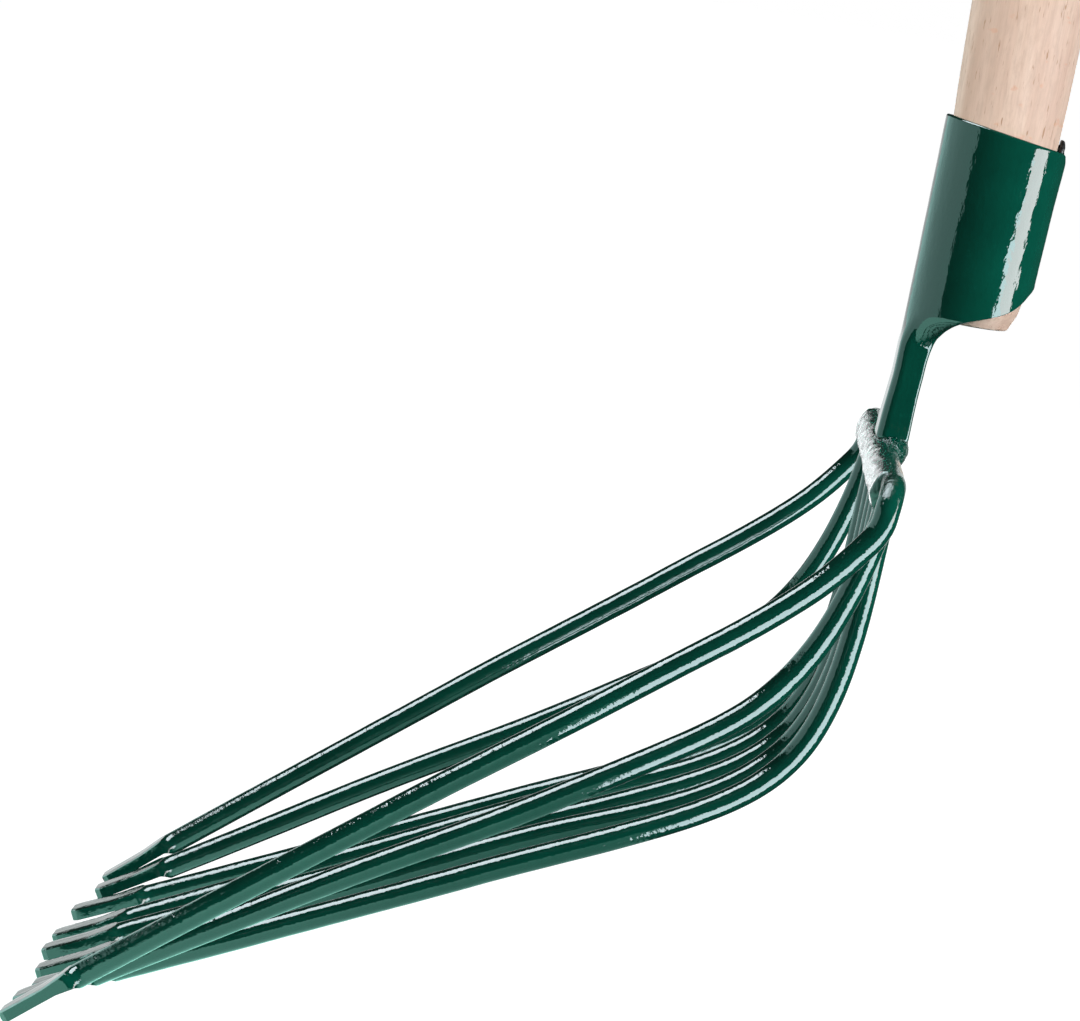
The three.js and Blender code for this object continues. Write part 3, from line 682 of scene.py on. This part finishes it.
def enamel(name, tips=False, weld=0, stretch=1.0):
    """Glossy dark green paint. tips adds the pitted coat near the blades, weld 1 a ropy seam and 2 spattered metal."""
    m, nt, b = new_material(name)
    v = object_coords(nt)
    tone = noise_tex(nt, v, 42, 4, 0.6)
    colour = ramp(nt, tone, [(0.32, GREEN_DARK), (0.70, GREEN_LIGHT)])
    thin = noise_tex(nt, v, 420, 3, 0.6)
    colour = mix_color(nt, map_range(nt, thin, 0.62, 0.80, 0.0, 0.35), colour, GREEN_THIN)
    wave = noise_tex(nt, v, 85, 2, 0.5)
    run_v = object_coords(nt, (1, 1, stretch))
    ripple = noise_tex(nt, run_v, 300, 3, 0.55)
    peel = noise_tex(nt, v, 1100, 2, 0.5)
    normal = bump(nt, wave, 0.00012)
    normal = bump(nt, ripple, 0.00016, normal)
    normal = bump(nt, peel, 0.000005, normal)
    gloss = map_range(nt, noise_tex(nt, v, 160, 3, 0.6), 0.3, 0.75, 0.018, 0.045)
    if tips:
        xyz = nt.nodes.new("ShaderNodeSeparateXYZ")
        nt.links.new(v, xyz.inputs[0])
        near = map_range(nt, xyz.outputs[0], -0.200, -0.226, 0.0, 1.0)
        keep = map_range(nt, xyz.outputs[0], -0.250, -0.244, 0.10, 1.0)
        mask = math_node(nt, "MULTIPLY", near, keep)
        speck = noise_tex(nt, v, 560, 3, 0.6)
        normal = bump(nt, math_node(nt, "MULTIPLY", speck, mask), 0.00016, normal)
        # weld spatter over the crossbar
        bar = math_node(nt, "MULTIPLY", map_range(nt, xyz.outputs[2], -0.5948, -0.5930, 0.0, 1.0), map_range(nt, xyz.outputs[0], -0.032, -0.029, 0.0, 1.0))
        normal = bump(nt, math_node(nt, "MULTIPLY", noise_tex(nt, v, 900, 3, 0.6), bar), 0.00035, normal)
        # bare, rusty edge left beside the weld on the back of the crossbar
        sy = map_range(nt, xyz.outputs[1], -0.052, -0.060, 0.0, 1.0)
        ey = map_range(nt, xyz.outputs[1], -0.094, -0.088, 0.0, 1.0)
        sx = map_range(nt, xyz.outputs[0], -0.0195, -0.0175, 0.0, 1.0)
        sz = map_range(nt, xyz.outputs[2], -0.5935, -0.5915, 0.0, 1.0)
        patch = math_node(nt, "MULTIPLY", math_node(nt, "MULTIPLY", sy, ey), math_node(nt, "MULTIPLY", sx, sz))
        patch = math_node(nt, "MULTIPLY", patch, map_range(nt, noise_tex(nt, v, 380, 3, 0.6), 0.42, 0.52, 0.0, 1.0))
        colour = mix_color(nt, patch, colour, (0.42, 0.31, 0.22))
        gloss = math_node(nt, "ADD", gloss, math_node(nt, "MULTIPLY", patch, 0.35))
    if weld == 1:
        seam_v = object_coords(nt, (1, 0.30, 0.55))
        rope = noise_tex(nt, seam_v, 900, 4, 0.6)
        normal = bump(nt, rope, 0.00020, normal)
        normal = bump(nt, noise_tex(nt, v, 420, 3, 0.5), 0.00022, normal)
        gloss = math_node(nt, "ADD", gloss, 0.20)
    if weld == 2:
        spat = noise_tex(nt, v, 950, 3, 0.6)
        normal = bump(nt, spat, 0.00030, normal)
        colour = mix_color(nt, map_range(nt, spat, 0.60, 0.72, 0.0, 0.5), colour, (0.06, 0.10, 0.07))
        gloss = math_node(nt, "ADD", gloss, 0.08)
    nt.links.new(colour, b.inputs["Base Color"])
    nt.links.new(gloss, b.inputs["Roughness"])
    nt.links.new(normal, b.inputs["Normal"])
    b.inputs["IOR"].default_value = 1.52
    b.inputs["Specular IOR Level"].default_value = 0.62
    return m


GREEN_DARK = (0.0004, 0.058, 0.0375)
GREEN_LIGHT = (0.0008, 0.078, 0.050)
GREEN_THIN = (0.002, 0.098, 0.066)
GREEN_GREY = (0.055, 0.130, 0.105)


def beech(name):
    """Sanded steamed beech: pinkish, with short dark ray flecks and a few orange patches."""
    m, nt, b = new_material(name)
    v = object_coords(nt)
    long_v = object_coords(nt, (1, 1, 0.05))
    mid_v = object_coords(nt, (1, 1, 0.30))
    ray_v = object_coords(nt, (1.25, 1.25, 0.15))
    blot_v = object_coords(nt, (0.8, 0.8, 1.5))
    bands = noise_tex(nt, long_v, 150, 5, 0.6, 0.5)
    colour = ramp(nt, bands, [(0.28, (0.66, 0.455, 0.36)), (0.50, (0.76, 0.565, 0.465)), (0.74, (0.84, 0.67, 0.57))])
    fine = noise_tex(nt, long_v, 1500, 5, 0.7)
    colour = mix_color(nt, map_range(nt, fine, 0.36, 0.70, 0.0, 0.38), colour, (0.60, 0.42, 0.315))
    cloud = noise_tex(nt, v, 26, 3, 0.55)
    colour = mix_color(nt, map_range(nt, cloud, 0.42, 0.66, 0.0, 0.55), colour, (0.83, 0.64, 0.53))
    mottle = noise_tex(nt, mid_v, 520, 4, 0.65)
    colour = mix_color(nt, map_range(nt, mottle, 0.42, 0.66, 0.0, 0.30), colour, (0.56, 0.40, 0.315))
    rays = noise_tex(nt, ray_v, 1000, 2, 0.5)
    patch = map_range(nt, noise_tex(nt, v, 120, 2, 0.5), 0.40, 0.62, 0.15, 1.0)
    ray_mask = math_node(nt, "MULTIPLY", map_range(nt, rays, 0.625, 0.68, 0.0, 0.70), patch)
    colour = mix_color(nt, ray_mask, colour, (0.40, 0.19, 0.085))
    blot = noise_tex(nt, blot_v, 190, 2, 0.5)
    colour = mix_color(nt, map_range(nt, blot, 0.655, 0.73, 0.0, 0.45), colour, (0.74, 0.40, 0.25))
    nt.links.new(colour, b.inputs["Base Color"])
    gloss = map_range(nt, bands, 0.3, 0.7, 0.50, 0.66)
    nt.links.new(gloss, b.inputs["Roughness"])
    normal = bump(nt, fine, 0.00007)
    normal = bump(nt, math_node(nt, "MULTIPLY", ray_mask, -1.0), 0.00006, normal)
    nt.links.new(normal, b.inputs["Normal"])
    b.inputs["Specular IOR Level"].default_value = 0.25
    return m


def black_steel(name):
    m, nt, b = new_material(name)
    v = object_coords(nt)
    n = noise_tex(nt, v, 900, 4, 0.6)
    nt.links.new(ramp(nt, n, [(0.35, (0.030, 0.030, 0.032)), (0.75, (0.095, 0.094, 0.092))]), b.inputs["Base Color"])
    nt.links.new(map_range(nt, n, 0.3, 0.7, 0.30, 0.48), b.inputs["Roughness"])
    nt.links.new(bump(nt, noise_tex(nt, v, 2600, 3, 0.6), 0.00003), b.inputs["Normal"])
    b.inputs["Metallic"].default_value = 0.75
    return m


def floor_material(name):
    m, nt, b = new_material(name)
    v = object_coords(nt)
    n = noise_tex(nt, v, 3.0, 2, 0.5)
    nt.links.new(ramp(nt, n, [(0.3, FLOOR_DIFF), (0.7, tuple(min(1, c * 1.02) for c in FLOOR_DIFF))]), b.inputs["Base Color"])
    b.inputs["Roughness"].default_value = 0.9
    b.inputs["Emission Color"].default_value = (*FLOOR_EMIT, 1)
    b.inputs["Emission Strength"].default_value = FLOOR_GLOW
    return m


FLOOR_DIFF, FLOOR_EMIT, FLOOR_GLOW = (0.30, 0.30, 0.30), (1.0, 1.0, 1.0), 1.0

# ------------------------------------------------------------------ build the pieces
enamel_tines = enamel("green_enamel_rods", tips=True)
enamel_sheet = enamel("green_enamel_sheet", stretch=0.45)
enamel_seam = enamel("green_enamel_seam", weld=1)
enamel_spatter = enamel("green_enamel_spatter", weld=2)
beech_wood = beech("beech_wood")
black_screw = black_steel("black_screw_steel")


def dress(ob, material, cad):
    ob.data.materials.clear()
    ob.data.materials.append(material)
    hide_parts(cad)
    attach(ob, "root")
    return ob


for i, (cad, profile, side, extra) in enumerate(TINES):
    dress(inner_tine("painted_" + cad, profile, side, extra, i + 2), enamel_tines, cad)
dress(outer_bow("painted_outer_bow", 1), enamel_tines, "outer_bow")
dress(socket_sheet("painted_socket"), enamel_sheet, "socket")
dress(crossbar_bead("painted_crossbar_weld"), enamel_seam, "crossbar_weld")
dress(neck_bead("painted_neck_weld"), enamel_spatter, "neck_weld")
dress(handle("beech_handle"), beech_wood, "handle")
dress(screw("black_handle_screw"), black_screw, "handle_screw")
for n, ob in frame["nodes"].items():                 # hidden collision bodies keep a real finish too
    ob.data.materials.clear()
    ob.data.materials.append(beech_wood if n == "handle" else black_screw if n == "handle_screw" else enamel_sheet)

# ------------------------------------------------------------------ floor, light, camera
bm = bmesh.new()
bmesh.ops.create_grid(bm, x_segments=8, y_segments=8, size=150.0)
fl = bpy.data.meshes.new("studio_floor")
bm.to_mesh(fl)
bm.free()
floor = bpy.data.objects.new("studio_floor", fl)
bpy.context.scene.collection.objects.link(floor)
floor.location = (0, 0, -0.86)
floor.visible_glossy = floor.visible_diffuse = False
fl.materials.append(floor_material("pale_floor"))


def area(name, place, look_at, size_x, size_y, radiance, colour=(1, 1, 1), glossy=True, up=(0, 0, 1)):
    d = bpy.data.lights.new(name, "AREA")
    d.shape = "RECTANGLE"
    d.size, d.size_y = size_x, size_y
    d.energy = radiance * math.pi * size_x * size_y
    d.color = colour
    o = bpy.data.objects.new(name, d)
    bpy.context.scene.collection.objects.link(o)
    p, t = Vector(place), Vector(look_at)
    z = (p - t).normalized()
    x = Vector(up).cross(z).normalized()
    y = z.cross(x)
    o.matrix_world = Matrix((( x.x, y.x, z.x, p.x), (x.y, y.y, z.y, p.y), (x.z, y.z, z.z, p.z), (0, 0, 0, 1)))
    o.visible_camera = False
    o.visible_glossy = glossy
    return o


HEAD = Vector((-0.14, 0.0, -0.74))


def card(name, corners, strength, colour, slope=None):
    """A glowing panel that is only seen in reflections; slope = (axis, from, to, end strength)."""
    me = bpy.data.meshes.new(name)
    me.from_pydata([tuple(c) for c in corners], [], [(0, 1, 2, 3)])
    m = bpy.data.materials.new(name + "_glow")
    m.use_nodes = True
    nt = m.node_tree
    nt.nodes.remove(nt.nodes["Principled BSDF"])
    em = nt.nodes.new("ShaderNodeEmission")
    em.inputs["Color"].default_value = (*colour, 1)
    em.inputs["Strength"].default_value = strength
    if slope:
        axis, x0, x1, end = slope
        xyz = nt.nodes.new("ShaderNodeSeparateXYZ")
        nt.links.new(object_coords(nt), xyz.inputs[0])
        nt.links.new(map_range(nt, xyz.outputs[axis], x0, x1, strength, end), em.inputs["Strength"])
    nt.links.new(em.outputs[0], nt.nodes["Material Output"].inputs["Surface"])
    me.materials.append(m)
    o = bpy.data.objects.new(name, me)
    bpy.context.scene.collection.objects.link(o)
    o.visible_camera = o.visible_diffuse = o.visible_shadow = o.visible_transmission = False
    return o


# reflections
card("panel_above", [HEAD + Vector(c) for c in ((-1.75, -0.62, 1.45), (-0.30, -0.62, 2.05), (-0.30, 0.66, 2.05), (-1.75, 0.66, 1.45))], 12.5, (0.82, 0.95, 1.0))
card("panel_right_low", [(-0.06, -1.3, -1.2), (0.42, -0.57, -1.8), (1.08, -0.289, -0.865), (0.846, -0.673, -0.595)], 11.5, (0.76, 0.95, 1.0))
card("panel_right", [(0.846, -0.673, -0.595), (1.08, -0.289, -0.865), (1.62, -0.06, -0.1), (1.588, -0.16, -0.1)], 10.0, (0.99, 0.98, 1.0))
card("panel_left", [(-1.60, -1.08, -2.2), (-1.60, 3.0, -2.2), (-1.60, 3.0, 0.05), (-1.60, -1.08, 0.05)], 1.5, (0.58, 1.0, 0.94))
card("panel_back", [(-1.6, 3.0, -1.6), (1.2, 3.0, -1.6), (1.2, 3.0, -0.25), (-1.6, 3.0, -0.25)], 0.95, (0.94, 1.0, 1.0))
card("table_shine", [(-0.75, -0.70, -0.845), (-0.03, -0.70, -0.845), (-0.03, 0.10, -0.845), (-0.75, 0.10, -0.845)], 2.5, (0.42, 1.0, 0.84), (0, -0.28, -0.02, 0.8))
# light that shapes the surfaces without showing in them
groups = {}
for g in ("painted", "wooden", "seam"):
    groups[g] = bpy.data.collections.new("lit_" + g)
for ob in bpy.context.scene.collection.objects:
    if ob.name.startswith("painted_"):
        groups["painted"].objects.link(ob)
    if ob.name.startswith("painted_crossbar_weld"):
        groups["seam"].objects.link(ob)
    if ob.name.startswith(("beech_", "black_")):
        groups["wooden"].objects.link(ob)
key = area("key_paint", (1.85, -1.0, -0.2), (0.0, 0.0, -0.6), 1.2, 1.2, 1.0, glossy=False)
key.data.energy = 1.55 * math.pi * math.pi * 3.8
key.light_linking.receiver_collection = groups["painted"]
soft = area("fill_paint", (-0.2, -2.2, 0.6), (-0.05, 0.0, -0.65), 2.0, 2.0, 1.0, glossy=False)
soft.data.energy = 0.36 * math.pi * math.pi * 6.4
soft.light_linking.receiver_collection = groups["painted"]
wood_key = area("key_wood", (1.95, -1.35, 0.1), (0.0, 0.0, -0.4), 1.6, 1.6, 1.0, colour=(1.0, 0.985, 0.97), glossy=False)
wood_key.data.energy = 1.32 * math.pi * math.pi * 5.2
wood_key.light_linking.receiver_collection = groups["wooden"]
wood_left = area("fill_wood", (-1.6, -1.2, 0.2), (0.0, 0.0, -0.4), 1.6, 1.6, 1.0, colour=(1.0, 0.975, 0.94), glossy=False)
wood_left.data.energy = 1.0 * math.pi * math.pi * 4.3
wood_left.light_linking.receiver_collection = groups["wooden"]
weld_sheen = area("sheen_weld", (-1.5, 1.3, -0.55), (-0.02, 0.0, -0.6), 2.0, 2.2, 1.0, colour=(1.0, 0.97, 1.0))
weld_sheen.visible_diffuse = False
weld_sheen.data.energy = 4.6 * math.pi * 4.4
weld_sheen.light_linking.receiver_collection = groups["seam"]
back_light = area("rim_behind", (-0.3, 1.9, 0.9), (0.0, 0.0, -0.5), 1.6, 1.6, 1.0, glossy=False)
back_light.data.energy = 0.3 * math.pi * math.pi * 5.5

w = bpy.data.worlds.new("studio")
bpy.context.scene.world = w
w.use_nodes = True
wt = w.node_tree
bg = wt.nodes["Background"]
bg.inputs["Color"].default_value = (0.03, 0.032, 0.032, 1)
bg.inputs["Strength"].default_value = 1.0
white = wt.nodes.new("ShaderNodeBackground")
white.inputs["Color"].default_value = (1, 1, 1, 1)
lp = wt.nodes.new("ShaderNodeLightPath")
ms = wt.nodes.new("ShaderNodeMixShader")
wt.links.new(lp.outputs["Is Camera Ray"], ms.inputs[0])
wt.links.new(bg.outputs[0], ms.inputs[1])
wt.links.new(white.outputs[0], ms.inputs[2])
wt.links.new(ms.outputs[0], wt.nodes["World Output"].inputs["Surface"])

CAM_R = [[0.9837944, 0.05614772, 0.17028216], [0.17618268, -0.12638828, -0.97620985], [-0.03329028, 0.99039055, -0.13423234]]
CAM_T = [153.86962, -124.78146, 1322.18854]
Rm = np.array(CAM_R)
pos = -Rm.T @ np.array(CAM_T)
right, down, fwd = Rm
right = right / np.linalg.norm(right)
fwd = fwd - right * fwd.dot(right)
fwd = fwd / np.linalg.norm(fwd)
upv = np.cross(right, fwd)
cam_data = bpy.data.cameras.new("camera")
cam_data.sensor_fit = "HORIZONTAL"
cam_data.sensor_width = 36.0
cam_data.lens = 36.0 * 4000.0 / 1080.0
cam_data.clip_start, cam_data.clip_end = 0.05, 200.0
cam = bpy.data.objects.new("camera", cam_data)
bpy.context.scene.collection.objects.link(cam)
back = -fwd
cam.matrix_world = Matrix(((right[0], upv[0], back[0], pos[0] / 1000), (right[1], upv[1], back[1], pos[1] / 1000),
                           (right[2], upv[2], back[2], (pos[2] - GRIP) / 1000), (0, 0, 0, 1)))
bpy.context.scene.camera = cam
bpy.context.scene.view_settings.view_transform = "Standard"
bpy.context.scene.view_settings.look = "None"
